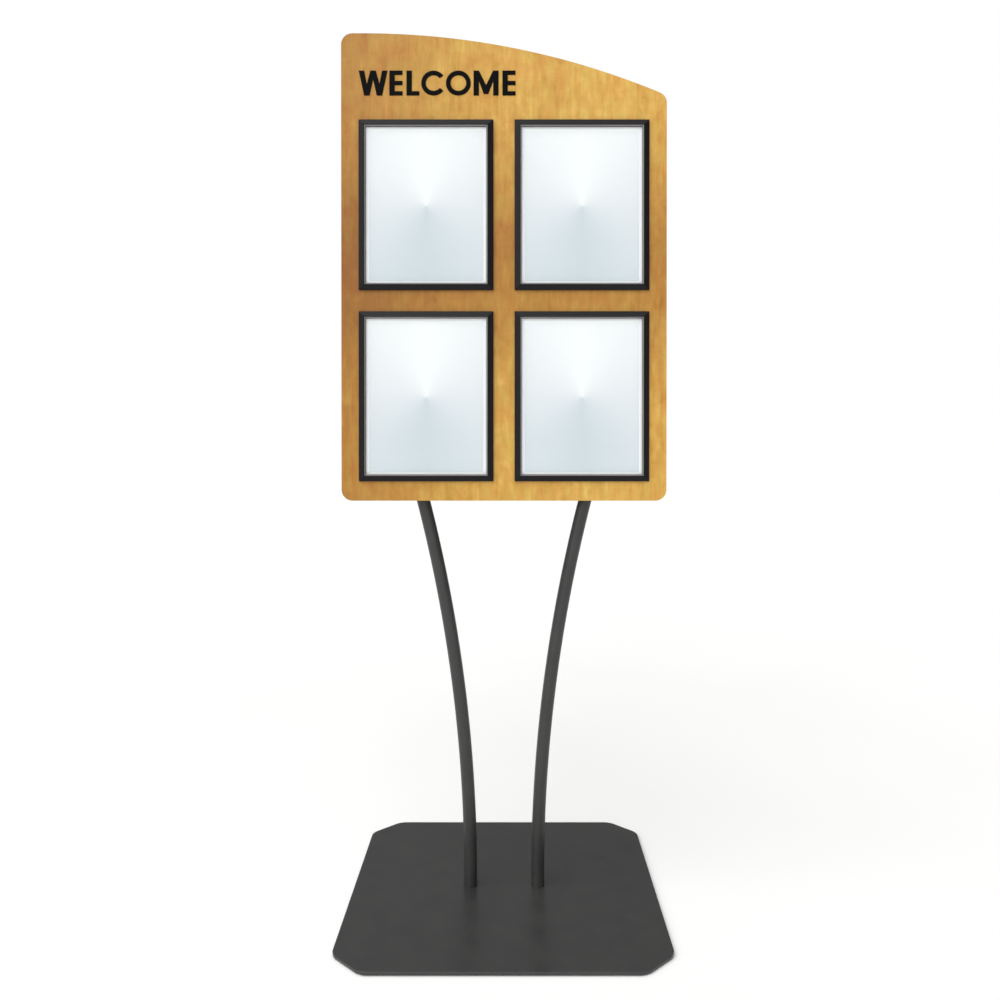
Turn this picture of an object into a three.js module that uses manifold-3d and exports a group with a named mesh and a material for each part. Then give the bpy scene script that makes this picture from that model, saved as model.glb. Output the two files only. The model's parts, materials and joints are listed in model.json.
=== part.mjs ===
// Free-standing sign: a wood-faced panel on two curved steel poles and a clipped-corner
// base plate, with a block-letter greeting and four pull-off literature frames.
// Millimetres, +Z up. The front faces -Y and the floor is z = 0.
import * as THREE from "three";
import { mergeVertices } from "three/addons/utils/BufferGeometryUtils.js";
import Module from "manifold-3d";

const wasm = await Module();
wasm.setup();

const INCH = 25.4;
const QUARTER_TURN = Math.PI / 2;
const GAP = 0.3;

const PAD = { radius: 16, thickness: 2, inset: 60 };
const BASE = { width: 550, depth: 560, thickness: 5, clip: 52, cornerRadius: 28, edgeBevel: 0.8 };
const BASE_TOP = PAD.thickness + BASE.thickness;

// Each pole is straight at the foot, then an arc that leans outwards, then straight again.
const POLE = {
  radius: 12,
  wall: 2,
  footX: 61.8,
  footStraight: 22,
  bendRadius: 2771,
  bendTopZ: 735,
  topZ: 1180,
  sides: 20,
  steps: 24,
};
const BEND_RISE = POLE.bendTopZ - BASE_TOP - POLE.footStraight;
const LEAN = Math.asin(BEND_RISE / POLE.bendRadius);
const BEND_SPREAD = POLE.bendRadius * (1 - Math.cos(LEAN));

const PLUG = { height: 34, fit: 0.3 };
const FOOT_BOLT = { headRadius: 8, headHeight: 4.2, rim: 0.5, radius: 4, length: 32 };
const CAP = { thickness: 3, stem: 12, fit: 0.3 };

const BAR = { height: 32, thickness: 8, backY: -10, heights: [790, 1140], overhang: 22 };
const PANEL_BOLT = { headRadius: 5.5, headHeight: 3.3, radius: 3, bite: 12, inboard: 45 };

const PANEL = {
  width: 23 * INCH,
  height: 33 * INCH,
  bottomZ: 718,
  backY: BAR.backY - BAR.thickness,
  thickness: 19,
  skin: 0.8,
  band: 1,
  cornerRadius: 20,
  archRadius: 1389,
  archStart: 40,
};
const PANEL_FRONT_Y = PANEL.backY - PANEL.thickness;

const FRAME = { width: 9.5 * INCH, height: 12 * INCH, rail: 0.5 * INCH, gap: 1.5 * INCH };
const FRAME_BOTTOM_MARGIN = 35;
const RAIL = {
  wall: 3.4,
  shoulder: 4.2,
  crest: 9.3,
  crestHeight: 8.2,
  lip: 5.4,
  ledge: 4.6,
  channel: 7.3,
  ceiling: 3,
};
const MITRE_GAP = 0.2;
const SHEET = { width: 8.5 * INCH, height: 11 * INCH, thickness: 0.4 };
const TRAY = { plate: 1, rim: 1, rimHeight: 2.3, sheetFit: 0.5 };
const LENS = { thickness: 1.5, front: 4.3 };

const LETTER = { height: 1.75 * INCH, thickness: 1, stem: 9.6, bar: 7.6, aboveFrames: 44 };

const CHARCOAL = [0x3f3f3e, 0.5, 0.55];
const ZINC = [0xa9adb0, 0.4, 0.9];
const RUBBER = [0x1b1b1b, 0.9, 0];
const BLACK_PLASTIC = [0x161617, 0.55, 0];
const BLACK_FRAME = [0x201d1f, 0.4, 0.3];
const MAPLE = [0xcf9f5c, 0.45, 0];
const FIBREBOARD = [0x9b7a54, 0.85, 0];
const PRINT = [0xe9f0f3, 0.6, 0];
const ACRYLIC = [0xf4f8fa, 0.08, 0];

const stand = new THREE.Group();

function addPiece(parent, name, geometry, [colour, roughness, metalness]) {
  const material = new THREE.MeshStandardMaterial({ color: colour, roughness, metalness });
  const mesh = new THREE.Mesh(geometry, material);
  mesh.name = name;
  parent.add(mesh);
  return mesh;
}

function toSolid(geometry) {
  const bare = geometry.clone();
  bare.deleteAttribute("normal");
  bare.deleteAttribute("uv");
  const merged = mergeVertices(bare, 1e-4);
  const vertProperties = new Float32Array(merged.attributes.position.array);
  const triVerts = new Uint32Array(merged.index.array);
  return new wasm.Manifold(new wasm.Mesh({ numProp: 3, vertProperties, triVerts }));
}

function toGeometry(solid) {
  const { vertProperties, triVerts } = solid.getMesh();
  const geometry = new THREE.BufferGeometry();
  geometry.setAttribute("position", new THREE.BufferAttribute(vertProperties, 3));
  geometry.setIndex(new THREE.BufferAttribute(triVerts, 1));
  geometry.computeVertexNormals();
  return geometry;
}

function cut(geometry, tools) {
  return toGeometry(tools.reduce((rest, tool) => rest.subtract(toSolid(tool)), toSolid(geometry)));
}

// A turned solid about its own +Y, from [radius, height] points listed from bottom to top.
function turned(points, sides = 24) {
  const profile = points.map(([radius, height]) => new THREE.Vector2(radius, height));
  return new THREE.LatheGeometry(profile, sides);
}

function roundedPolygon(corners, radius) {
  const shape = new THREE.Shape();
  corners.forEach((corner, i) => {
    const along = corner.clone().sub(corners.at(i - 1)).normalize();
    const onward = corners[(i + 1) % corners.length].clone().sub(corner).normalize();
    const run = radius * Math.tan(Math.acos(along.dot(onward)) / 2);
    const start = corner.clone().addScaledVector(along, -run);
    const centre = new THREE.Vector2(-along.y, along.x).multiplyScalar(radius).add(start);
    const from = Math.atan2(along.y, along.x) - QUARTER_TURN;
    const to = Math.atan2(onward.y, onward.x) - QUARTER_TURN;
    shape.absarc(centre.x, centre.y, radius, from, to, false);
  });
  shape.closePath();
  return shape;
}

// ---- Base plate, pads and foot bolts ----

function clippedRectangle(width, depth, clip) {
  const x = width / 2;
  const y = depth / 2;
  return [
    [x, -y + clip],
    [x, y - clip],
    [x - clip, y],
    [-x + clip, y],
    [-x, y - clip],
    [-x, -y + clip],
    [-x + clip, -y],
    [x - clip, -y],
  ].map(([px, py]) => new THREE.Vector2(px, py));
}

function footBoltPoints(grow, start, end) {
  return [
    [0, start],
    [FOOT_BOLT.headRadius + grow, start],
    [FOOT_BOLT.headRadius + grow, FOOT_BOLT.rim],
    [FOOT_BOLT.radius + grow, FOOT_BOLT.headHeight],
    [FOOT_BOLT.radius + grow, end],
    [0, end],
  ];
}

function basePlateGeometry() {
  const corners = clippedRectangle(BASE.width, BASE.depth, BASE.clip);
  const plate = new THREE.ExtrudeGeometry(roundedPolygon(corners, BASE.cornerRadius), {
    depth: BASE.thickness - 2 * BASE.edgeBevel,
    bevelThickness: BASE.edgeBevel,
    bevelSize: BASE.edgeBevel,
    bevelOffset: -BASE.edgeBevel,
    bevelSegments: 1,
    curveSegments: 5,
  });
  plate.translate(0, 0, BASE.edgeBevel);
  const holes = [-1, 1].map((side) => {
    const hole = turned(footBoltPoints(GAP, -1, BASE.thickness + 1));
    return hole.rotateX(QUARTER_TURN).translate(side * POLE.footX, 0, 0);
  });
  return cut(plate, holes);
}

function hexSocket(radius, depth) {
  return new THREE.CylinderGeometry(radius, radius, 2 * depth, 6);
}

function addBase() {
  addPiece(stand, "base_plate", basePlateGeometry(), CHARCOAL).position.z = PAD.thickness;
  const padX = BASE.width / 2 - PAD.inset;
  const padY = BASE.depth / 2 - PAD.inset;
  for (const [name, x, y] of [
    ["pad_front_left", -padX, -padY],
    ["pad_front_right", padX, -padY],
    ["pad_back_left", -padX, padY],
    ["pad_back_right", padX, padY],
  ]) {
    const disc = new THREE.CylinderGeometry(PAD.radius, PAD.radius, PAD.thickness, 24);
    const pad = addPiece(stand, name, disc, RUBBER);
    pad.rotation.x = QUARTER_TURN;
    pad.position.set(x, y, PAD.thickness / 2);
  }
}

// ---- Poles, foot plugs and end caps ----

class PoleLine extends THREE.Curve {
  constructor(side) {
    super();
    this.side = side;
    this.bend = POLE.bendRadius * LEAN;
    this.topStraight = (POLE.topZ - POLE.bendTopZ) / Math.cos(LEAN);
    this.total = POLE.footStraight + this.bend + this.topStraight;
  }

  getPoint(t, target = new THREE.Vector3()) {
    const run = t * this.total;
    const bent = THREE.MathUtils.clamp(run - POLE.footStraight, 0, this.bend) / POLE.bendRadius;
    const beyond = Math.max(run - POLE.footStraight - this.bend, 0);
    const spread = POLE.bendRadius * (1 - Math.cos(bent)) + beyond * Math.sin(LEAN);
    const rise = POLE.bendRadius * Math.sin(bent) + beyond * Math.cos(LEAN);
    const z = BASE_TOP + Math.min(run, POLE.footStraight) + rise;
    return target.set(this.side * (POLE.footX + spread), 0, z);
  }
}

// Distance of the straight upper pole from the middle at height z.
function upperPoleX(z) {
  return POLE.footX + BEND_SPREAD + (z - POLE.bendTopZ) * Math.tan(LEAN);
}

function poleGeometry(side) {
  const section = new THREE.Shape();
  section.absarc(0, 0, POLE.radius, 0, 2 * Math.PI, false);
  const bore = new THREE.Path();
  bore.absarc(0, 0, POLE.radius - POLE.wall, 0, 2 * Math.PI, true);
  section.holes.push(bore);
  return new THREE.ExtrudeGeometry(section, {
    steps: POLE.steps,
    curveSegments: POLE.sides / 2,
    extrudePath: new PoleLine(side),
  });
}

function plugGeometry() {
  const inner = FOOT_BOLT.radius + GAP;
  const outer = POLE.radius - POLE.wall - PLUG.fit;
  return turned([[inner, 0], [outer, 0], [outer, PLUG.height], [inner, PLUG.height], [inner, 0]]);
}

function capGeometry() {
  const stemRadius = POLE.radius - POLE.wall - CAP.fit;
  return turned([
    [0, -CAP.stem],
    [stemRadius, -CAP.stem],
    [stemRadius, 0],
    [POLE.radius, 0],
    [POLE.radius, CAP.thickness * 0.6],
    [POLE.radius - 1.2, CAP.thickness],
    [0, CAP.thickness],
  ]);
}

function addPole(name, side) {
  addPiece(stand, `pole_${name}`, poleGeometry(side), CHARCOAL);

  const plug = addPiece(stand, `foot_plug_${name}`, plugGeometry(), ZINC);
  plug.rotation.x = QUARTER_TURN;
  plug.position.set(side * POLE.footX, 0, BASE_TOP);

  const bolt = cut(turned(footBoltPoints(0, 0, FOOT_BOLT.length)), [hexSocket(2.9, 2.4)]);
  const footBolt = addPiece(stand, `foot_bolt_${name}`, bolt, ZINC);
  footBolt.rotation.x = QUARTER_TURN;
  footBolt.position.set(side * POLE.footX, 0, PAD.thickness);

  const top = new THREE.Group();
  top.position.copy(new PoleLine(side).getPoint(1));
  top.rotation.y = side * LEAN;
  stand.add(top);
  const cap = addPiece(top, `pole_cap_${name}`, capGeometry(), BLACK_PLASTIC);
  cap.rotation.x = QUARTER_TURN;
  cap.position.z = GAP;
}

// ---- Mounting bars behind the panel ----

function boltX(z) {
  return upperPoleX(z) - PANEL_BOLT.inboard;
}

function barGeometry(z) {
  const width = 2 * (upperPoleX(z) + BAR.overhang);
  const bar = new THREE.BoxGeometry(width, BAR.thickness, BAR.height);
  const centreY = BAR.backY - BAR.thickness / 2;
  const tools = [-1, 1].flatMap((side) => {
    const saddleRadius = POLE.radius + GAP + 0.1;
    const saddle = new THREE.CylinderGeometry(saddleRadius, saddleRadius, 4 * BAR.height, 32);
    saddle.rotateX(QUARTER_TURN).rotateY(side * LEAN).translate(side * upperPoleX(z), -centreY, 0);
    const holeRadius = PANEL_BOLT.radius + GAP;
    const hole = new THREE.CylinderGeometry(holeRadius, holeRadius, 2 * BAR.thickness, 20);
    hole.translate(side * boltX(z), 0, 0);
    return [saddle, hole];
  });
  return cut(bar, tools);
}

function panelBoltGeometry() {
  const { headRadius, headHeight, radius } = PANEL_BOLT;
  const end = headHeight + BAR.thickness + PANEL.skin + PANEL_BOLT.bite;
  const bolt = turned([
    [0, 0],
    [headRadius * 0.62, 0],
    [headRadius * 0.9, headHeight * 0.3],
    [headRadius, headHeight * 0.7],
    [headRadius, headHeight],
    [radius, headHeight],
    [radius, end],
    [0, end],
  ]);
  return cut(bolt, [hexSocket(2.3, 1.9)]);
}

function addBar(name, z) {
  const bar = addPiece(stand, `mounting_bar_${name}`, barGeometry(z), CHARCOAL);
  bar.position.set(0, BAR.backY - BAR.thickness / 2, z);
  for (const [end, side] of [["left", -1], ["right", 1]]) {
    const bolt = addPiece(stand, `panel_bolt_${name}_${end}`, panelBoltGeometry(), ZINC);
    bolt.rotation.x = Math.PI;
    bolt.position.set(side * boltX(z), BAR.backY + PANEL_BOLT.headHeight, z);
  }
}

// ---- Sign panel ----

// The outline drawn `inset` inside the edge: square at the left, and from `archStart`
// its top falls away to the right along one large arc.
function panelOutline(inset, Kind = THREE.Shape) {
  const { width, height, cornerRadius: corner, archRadius, archStart } = PANEL;
  const left = -width / 2 + corner;
  const right = width / 2 - corner;
  const archX = -width / 2 + archStart;
  const archY = height - archRadius;
  const cornerY = archY + Math.sqrt((archRadius - corner) ** 2 - (right - archX) ** 2);
  const tangent = Math.atan2(cornerY - archY, right - archX);
  const outline = new Kind();
  outline.absarc(left, corner, corner - inset, Math.PI, 3 * QUARTER_TURN, false);
  outline.absarc(right, corner, corner - inset, -QUARTER_TURN, 0, false);
  outline.absarc(right, cornerY, corner - inset, 0, tangent, false);
  outline.absarc(archX, archY, archRadius - inset, tangent, QUARTER_TURN, false);
  outline.absarc(left, height - corner, corner - inset, QUARTER_TURN, Math.PI, false);
  outline.closePath();
  return outline;
}

function slab(shape, depth) {
  return new THREE.ExtrudeGeometry(shape, { depth, bevelEnabled: false, curveSegments: 12 });
}

function drillPanel(geometry, depth) {
  const radius = PANEL_BOLT.radius + GAP;
  const holes = BAR.heights.flatMap((z) => [-1, 1].map((side) => {
    const hole = new THREE.CylinderGeometry(radius, radius, 2 * depth, 20);
    return hole.rotateX(QUARTER_TURN).translate(side * boltX(z), z - PANEL.bottomZ, 0);
  }));
  return cut(geometry, holes);
}

function addPanelLayer(name, geometry, y, paint) {
  const layer = addPiece(stand, name, geometry, paint);
  layer.rotation.x = QUARTER_TURN;
  layer.position.set(0, y, PANEL.bottomZ);
}

function addPanel() {
  const coreThickness = PANEL.thickness - 2 * PANEL.skin;
  const coreBackY = PANEL.backY - PANEL.skin;
  const core = slab(panelOutline(PANEL.band), coreThickness);
  const band = panelOutline(0);
  band.holes.push(panelOutline(PANEL.band, THREE.Path));
  const backSkin = slab(panelOutline(0), PANEL.skin);
  addPanelLayer("panel_core", drillPanel(core, PANEL_BOLT.bite + GAP), coreBackY, FIBREBOARD);
  addPanelLayer("panel_edge_band", slab(band, coreThickness), coreBackY, MAPLE);
  addPanelLayer("panel_back_skin", drillPanel(backSkin, 2 * PANEL.skin), PANEL.backY, MAPLE);
  addPanelLayer("panel_front_skin", slab(panelOutline(0), PANEL.skin), coreBackY - coreThickness, MAPLE);
}

// ---- Literature frames: a backing tray on the panel and a cover that pulls off ----

// Across one rail: u runs from the outer edge inwards, v forwards from the panel.
function railProfile() {
  const profile = new THREE.Shape();
  profile.moveTo(0, GAP);
  profile.lineTo(RAIL.wall, GAP);
  profile.lineTo(RAIL.wall, RAIL.ceiling);
  profile.lineTo(RAIL.channel, RAIL.ceiling);
  profile.lineTo(RAIL.channel, RAIL.ledge);
  profile.lineTo(FRAME.rail, RAIL.ledge);
  profile.lineTo(FRAME.rail, RAIL.lip);
  profile.lineTo(RAIL.crest, RAIL.crestHeight);
  profile.lineTo(0, RAIL.shoulder);
  profile.closePath();
  return profile;
}

// A rail along X with both ends mitred, its outer edge at z = 0 and its front towards -Y.
function railGeometry(length) {
  const rail = slab(railProfile(), length);
  const points = rail.attributes.position;
  for (let i = 0; i < points.count; i += 1) {
    const mitre = points.getX(i) + MITRE_GAP;
    points.setZ(i, points.getZ(i) > 0 ? length - mitre : mitre);
  }
  const toUpright = new THREE.Matrix4().makeBasis(
    new THREE.Vector3(0, 0, 1),
    new THREE.Vector3(0, -1, 0),
    new THREE.Vector3(1, 0, 0),
  );
  return rail.applyMatrix4(toUpright).translate(-length / 2, 0, 0);
}

function addCover(frame, name) {
  const { width, height } = FRAME;
  const sides = [
    ["bottom", width, height],
    ["left", height, width],
    ["top", width, height],
    ["right", height, width],
  ];
  sides.forEach(([side, length, across], quarter) => {
    const turnedSide = new THREE.Group();
    turnedSide.rotation.y = quarter * QUARTER_TURN;
    frame.add(turnedSide);
    const rail = addPiece(turnedSide, `${name}_rail_${side}`, railGeometry(length), BLACK_FRAME);
    rail.position.z = -across / 2;
  });
  const trim = 2 * (RAIL.channel + GAP);
  const pane = new THREE.BoxGeometry(width - trim, LENS.thickness, height - trim);
  addPiece(frame, `${name}_lens`, pane, ACRYLIC).position.y = -(LENS.front - LENS.thickness / 2);
}

// A flat plate with a low rim on its front that locates the sheet.
function trayGeometry() {
  const margin = 2 * (RAIL.wall + GAP);
  const pocketWidth = SHEET.width + 2 * TRAY.sheetFit;
  const pocketHeight = SHEET.height + 2 * TRAY.sheetFit;
  const rimWidth = pocketWidth + 2 * TRAY.rim;
  const rimHeight = pocketHeight + 2 * TRAY.rim;
  const plate = new THREE.BoxGeometry(FRAME.width - margin, TRAY.plate, FRAME.height - margin);
  const block = new THREE.BoxGeometry(rimWidth, TRAY.rimHeight, rimHeight);
  const pocket = new THREE.BoxGeometry(pocketWidth, TRAY.rimHeight, pocketHeight);
  plate.translate(0, -TRAY.plate / 2, 0);
  block.translate(0, -TRAY.rimHeight / 2, 0);
  pocket.translate(0, -TRAY.plate - TRAY.rimHeight / 2, 0);
  return toGeometry(toSolid(plate).add(toSolid(block)).subtract(toSolid(pocket)));
}

function addFrame(name, x, z) {
  const frame = new THREE.Group();
  frame.position.set(x, PANEL_FRONT_Y, z);
  stand.add(frame);
  addPiece(frame, `${name}_tray`, trayGeometry(), BLACK_PLASTIC);
  const sheet = new THREE.BoxGeometry(SHEET.width, SHEET.thickness, SHEET.height);
  addPiece(frame, `${name}_insert`, sheet, PRINT).position.y = -TRAY.plate - SHEET.thickness / 2;
  addCover(frame, name);
}

function addFrames() {
  const x = (FRAME.width + FRAME.gap) / 2;
  const lowZ = PANEL.bottomZ + FRAME_BOTTOM_MARGIN + FRAME.height / 2;
  const highZ = lowZ + FRAME.height + FRAME.gap;
  addFrame("upper_left", -x, highZ);
  addFrame("upper_right", x, highZ);
  addFrame("lower_left", -x, lowZ);
  addFrame("lower_right", x, lowZ);
}

// ---- Block letters ----

function polygon(points) {
  return new THREE.Shape(points.map(([x, y]) => new THREE.Vector2(x, y)));
}

const LETTER_SHAPES = {
  W: (w, h, s) => {
    const foot = 0.28 * w;
    const half = s / 2;
    const middle = w / 2;
    const leftSide = [[0, h], [foot - half, 0], [foot + half, 0], [middle, 0.64 * h]];
    const rightSide = [[w - foot - half, 0], [w - foot + half, 0], [w, h], [w - s, h]];
    const crotches = [[w - foot, 0.46 * h], [middle + half, h], [middle - half, h], [foot, 0.46 * h]];
    return polygon([...leftSide, ...rightSide, ...crotches, [s, h]]);
  },
  E: (w, h, s, b) => {
    const low = (h - b) / 2;
    const high = (h + b) / 2;
    const arms = [[w, b], [s, b], [s, low], [w, low], [w, high], [s, high], [s, h - b], [w, h - b]];
    return polygon([[0, 0], [w, 0], ...arms, [w, h], [0, h]]);
  },
  L: (w, h, s, b) => polygon([[0, 0], [w, 0], [w, b], [s, b], [s, h], [0, h]]),
  C: (w, h, s, b) => {
    const mouth = THREE.MathUtils.degToRad(38);
    const shape = new THREE.Shape();
    shape.absarc(h / 2, h / 2, h / 2, mouth, 2 * Math.PI - mouth, false);
    shape.absarc(h / 2, h / 2, h / 2 - b - 0.6, 2 * Math.PI - mouth, mouth, true);
    shape.closePath();
    return shape;
  },
  O: (w, h, s, b) => {
    const shape = new THREE.Shape();
    shape.absarc(w / 2, h / 2, h / 2, 0, 2 * Math.PI, false);
    const counter = new THREE.Path();
    counter.absarc(w / 2, h / 2, h / 2 - b - 0.6, 0, 2 * Math.PI, true);
    shape.holes.push(counter);
    return shape;
  },
  M: (w, h, s) => {
    const middle = w / 2;
    const tip = 0.42 * s;
    const low = 0.06 * h;
    const inside = [[s, 0], [s, 0.58 * h], [middle - tip, low], [middle + tip, low]];
    const rightStem = [[w - s, 0.58 * h], [w - s, 0], [w, 0], [w, h], [w - s, h]];
    return polygon([[0, 0], ...inside, ...rightStem, [middle, 0.42 * h], [s, h], [0, h]]);
  },
};

// Each letter's width and the space after it.
const GREETING = [
  ["W", 51.5, 3.4],
  ["E", 23.5, 7.2],
  ["L", 23, 3.4],
  ["C", 40.5, 3.8],
  ["O", 44.5, 5],
  ["M", 44.8, 6.9],
  ["E", 23.5, 0],
];

function addLetters() {
  let x = -FRAME.width - FRAME.gap / 2;
  const z = PANEL.bottomZ + FRAME_BOTTOM_MARGIN + 2 * FRAME.height + FRAME.gap + LETTER.aboveFrames;
  GREETING.forEach(([letter, width, space], i) => {
    const shape = LETTER_SHAPES[letter](width, LETTER.height, LETTER.stem, LETTER.bar);
    const mesh = addPiece(stand, `letter_${i + 1}_${letter}`, slab(shape, LETTER.thickness), BLACK_PLASTIC);
    mesh.rotation.x = QUARTER_TURN;
    mesh.position.set(x, PANEL_FRONT_Y, z);
    x += width + space;
  });
}

addBase();
addPole("left", -1);
addPole("right", 1);
addBar("lower", BAR.heights[0]);
addBar("upper", BAR.heights[1]);
addPanel();
addFrames();
addLetters();

export default stand;
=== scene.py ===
# Looks of a free-standing welcome sign: a maple-faced panel with four literature frames,
# on two curved steel poles and a clipped-corner base plate.
# Metres, +Z up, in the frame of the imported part. The front faces -Y.
import json
import math

import bmesh
import bpy
from mathutils import Matrix, Vector

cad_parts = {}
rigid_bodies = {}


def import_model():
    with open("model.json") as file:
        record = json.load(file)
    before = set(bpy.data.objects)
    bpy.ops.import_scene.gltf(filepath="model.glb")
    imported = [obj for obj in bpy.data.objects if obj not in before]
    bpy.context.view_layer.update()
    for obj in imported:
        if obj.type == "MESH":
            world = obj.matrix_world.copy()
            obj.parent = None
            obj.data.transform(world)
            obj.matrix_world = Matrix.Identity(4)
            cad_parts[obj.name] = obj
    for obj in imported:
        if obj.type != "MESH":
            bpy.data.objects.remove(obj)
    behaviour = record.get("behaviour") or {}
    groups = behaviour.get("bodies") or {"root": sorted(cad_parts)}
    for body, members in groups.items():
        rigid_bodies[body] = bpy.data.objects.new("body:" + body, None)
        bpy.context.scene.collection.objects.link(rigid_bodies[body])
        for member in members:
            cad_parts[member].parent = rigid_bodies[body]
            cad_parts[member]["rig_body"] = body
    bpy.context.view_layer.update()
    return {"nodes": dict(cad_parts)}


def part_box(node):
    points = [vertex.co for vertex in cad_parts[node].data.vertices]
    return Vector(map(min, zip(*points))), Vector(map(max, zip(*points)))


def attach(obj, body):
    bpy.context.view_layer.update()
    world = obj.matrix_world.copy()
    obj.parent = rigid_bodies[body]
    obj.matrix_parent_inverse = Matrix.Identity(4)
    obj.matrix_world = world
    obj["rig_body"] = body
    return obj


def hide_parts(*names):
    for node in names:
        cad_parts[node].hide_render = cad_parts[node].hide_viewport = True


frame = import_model()

MM = 0.001
QUARTER_TURN = math.pi / 2
FULL_TURN = 2 * math.pi
WELD = 0.002 * MM
CREASE = math.radians(35)

# ---- Driving sizes ----

BASE_CLIP = 52 * MM
BASE_CORNER = 28 * MM
BASE_EDGE = 0.8 * MM
PAD_EDGE = 0.5 * MM

# Countersunk foot bolts and their holes. The cone of a head starts above its straight rim.
HEAD_RIM = 0.5 * MM
HEAD_DEPTH = 4.2 * MM
HOLE_MOUTH = 8.3 * MM
HOLE_BORE = 4.3 * MM
PLUG_EDGE = 0.6 * MM

POLE_RADIUS = 12 * MM
POLE_WALL = 2 * MM
FOOT_STRAIGHT = 22 * MM
BEND_RADIUS = 2771 * MM
BEND_TOP = 735 * MM
POLE_TOP = 1180 * MM

# A cap is clear of its pole by CAP_SLACK, round its stem and under its flange.
CAP_SLACK = 0.3 * MM
CAP_STEM = 12 * MM
CAP_FLANGE = 3 * MM
CAP_EDGE = 1.1 * MM
BAR_EDGE = 0.5 * MM

PANEL_CORNER = 20 * MM
ARCH_RADIUS = 1389 * MM
ARCH_START = 40 * MM
EDGE_BAND = 1 * MM
SKIN_EDGE = 0.3 * MM
BOLT_HOLE = 3.3 * MM

# Across one rail, in millimetres: inwards from the outer edge, then forwards from the panel.
# The last 2 mm of the inner bevel are painted light grey, as a painted highlight.
RAIL_SECTION = [
    (0, 0.3),
    (3.4, 0.3),
    (3.4, 3),
    (7.3, 3),
    (7.3, 4.6),
    (12.7, 4.6),
    (12.7, 5.4),
    (10.5, 7.21),
    (9.3, 8.2),
    (0, 4.2),
]
BEVEL_START = 10.5 * MM
RAIL_EDGE = 0.22 * MM
MITRE_GAP = 0.15 * MM

LENS_CORNER = 1.5 * MM
LENS_EDGE = 0.2 * MM
SHEET_CORNER = 0.8 * MM
SHEET_EDGE = 0.05 * MM
TRAY_EDGE = 0.2 * MM
CARD_MARGIN = 5.2 * MM
PRINT_DROP = 1.8 * MM

LETTER_STEM = 9.6 * MM
LETTER_BAR = 7.6 * MM
ROUND_BAR = 8.2 * MM
LETTER_EDGE = 0.12 * MM

FLOOR_RADIUS = 40

FRAME_NAMES = ("upper_left", "upper_right", "lower_left", "lower_right")
RAIL_SIDES = ("bottom", "left", "top", "right")

nodes = frame["nodes"]
panel_low, panel_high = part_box("panel_front_skin")
panel_front = panel_low.y
base_low, base_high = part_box("base_plate")
base_top = base_high.z
plug_low, plug_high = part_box("foot_plug_right")
foot_x = (plug_low.x + plug_high.x) / 2
lean = math.asin((BEND_TOP - base_top - FOOT_STRAIGHT) / BEND_RADIUS)

# Stands a shape drawn in XY up in XZ, so that its +Z points to the front.
STAND_UP = Matrix.Rotation(QUARTER_TURN, 4, "X")


# ---- Camera: in front of the stand, half way up it, tipped down a little ----

CAMERA_PLACE = Vector((0.0113, -1.722, 0.838))
CAMERA_TILT = math.radians(-0.37)
CAMERA_LENS = 33.75
CAMERA_SHIFT = (-0.0103, -0.06)


def add_camera():
    data = bpy.data.cameras.new("camera")
    data.lens = CAMERA_LENS
    data.shift_x, data.shift_y = CAMERA_SHIFT
    camera = bpy.data.objects.new("camera", data)
    camera.location = CAMERA_PLACE
    camera.rotation_euler = (QUARTER_TURN + CAMERA_TILT, 0, 0)
    bpy.context.scene.collection.objects.link(camera)
    bpy.context.scene.camera = camera


# ---- Node helpers ----


def linear(code):
    """An sRGB hex value as a linear colour with alpha."""
    parts = [int(code[i:i + 2], 16) / 255 for i in (0, 2, 4)]
    return (*(p / 12.92 if p <= 0.04045 else ((p + 0.055) / 1.055) ** 2.4 for p in parts), 1)


def add_node(tree, kind, settings=None, inputs=None, stops=()):
    """Adds a node, sets its properties, links or sets its inputs, and places a ramp's stops, its
    two ends first."""
    node = tree.nodes.new("ShaderNode" + kind)
    for name, value in (settings or {}).items():
        setattr(node, name, value)
    for name, value in (inputs or {}).items():
        if isinstance(value, bpy.types.NodeSocket):
            tree.links.new(value, node.inputs[name])
        else:
            node.inputs[name].default_value = value
    for i, (place, code) in enumerate(stops):
        stop = node.color_ramp.elements[i] if i < 2 else node.color_ramp.elements.new(place)
        stop.position = place
        stop.color = linear(code)
    return node


def new_material(name):
    material = bpy.data.materials.new(name)
    material.use_nodes = True
    material.node_tree.nodes.clear()
    return material, material.node_tree


def finish_material(tree, surface):
    add_node(tree, "OutputMaterial", inputs={"Surface": surface})


def scaled(tree, across, along):
    """Object coordinates counted in cells, `across` metres in X and Y and `along` metres in Z."""
    place = add_node(tree, "TexCoord").outputs["Object"]
    size = (1 / across, 1 / across, 1 / along)
    return add_node(tree, "Mapping", inputs={"Vector": place, "Scale": size}).outputs[0]


# ---- Materials ----


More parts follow.
